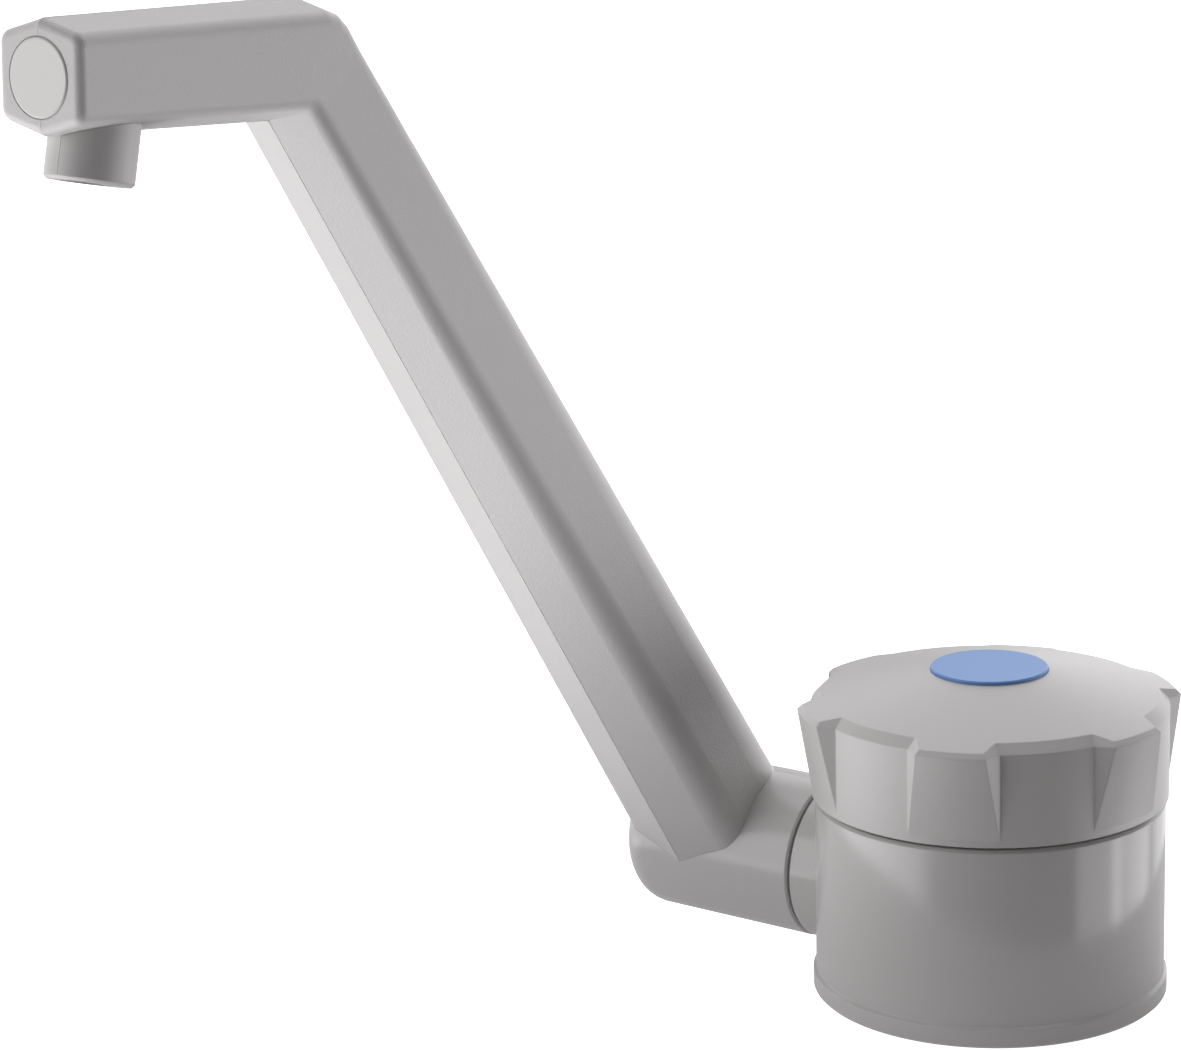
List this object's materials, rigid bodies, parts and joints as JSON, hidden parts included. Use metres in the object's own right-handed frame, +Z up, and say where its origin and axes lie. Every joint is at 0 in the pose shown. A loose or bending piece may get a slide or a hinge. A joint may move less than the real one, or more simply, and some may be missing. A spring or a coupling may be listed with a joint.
{
  "type": "water tap",
  "caption": "Folding cold-water tap with a round housing, lobed turning knob with blue disc, and a hinged tapering arm that ends in a short spout with a nozzle.",
  "frame": {"origin": "centre of the base's underside, in the plane it stands on", "axes": "+Z up along the knob's axis; the side socket and its pivot axis point along -X; the raised arm leans out along -Y"},
  "size_m": [0.0856, 0.1601, 0.1501],
  "materials": {
    "housing_plastic": "smooth semi-gloss moulding",
    "knob_plastic": "smooth semi-gloss moulding",
    "arm_plastic": "fine spark texture, matte",
    "plug_plastic": "matte",
    "nozzle_plastic": "satin",
    "insert_plastic": "satin",
    "blue_plastic": "satin",
    "plate_plastic": "satin",
    "washer_plastic": "matte",
    "seal_rubber": "matte",
    "brass": "machined",
    "steel": "plain"
  },
  "bodies": {
    "base": {"base_housing": "housing_plastic", "foot_seal": "seal_rubber", "base_plate": "plate_plastic", "plate_screws": "steel", "valve_body": "brass", "bonnet": "brass", "bonnet_o_ring": "seal_rubber", "pivot_tube": "brass", "pivot_o_rings": "seal_rubber", "thrust_washer": "washer_plastic"},
    "knob": {"knob": "knob_plastic", "cold_disc": "blue_plastic", "knob_screw": "steel", "spindle": "brass", "spindle_clip": "steel", "spindle_o_rings": "seal_rubber"},
    "jumper": {"jumper": "brass", "jumper_washer": "seal_rubber", "jumper_screw": "steel"},
    "arm": {"spout_arm": "arm_plastic", "end_plug": "plug_plastic", "nozzle": "nozzle_plastic", "flow_straightener": "insert_plastic", "retaining_screw": "steel"}
  },
  "joints": [
    {"name": "knob_turn", "type": "hinge", "parent": "base", "child": "knob", "pos_m": [0, 0, 0.0293], "axis": [0, 0, 1], "range_deg": [0, 540]},
    {"name": "jumper_lift", "type": "slide", "parent": "base", "child": "jumper", "axis": [0, 0, 1], "range_m": [0, 0.0025]},
    {"name": "arm_fold", "type": "hinge", "parent": "base", "child": "arm", "pos_m": [-0.0465, 0, 0.0139], "axis": [1, 0, 0], "range_deg": [0, 45]}
  ],
  "couplings": [
    {"joint": "jumper_lift", "follows": "knob_turn", "m_per_rad": 0.00026526}
  ]
}
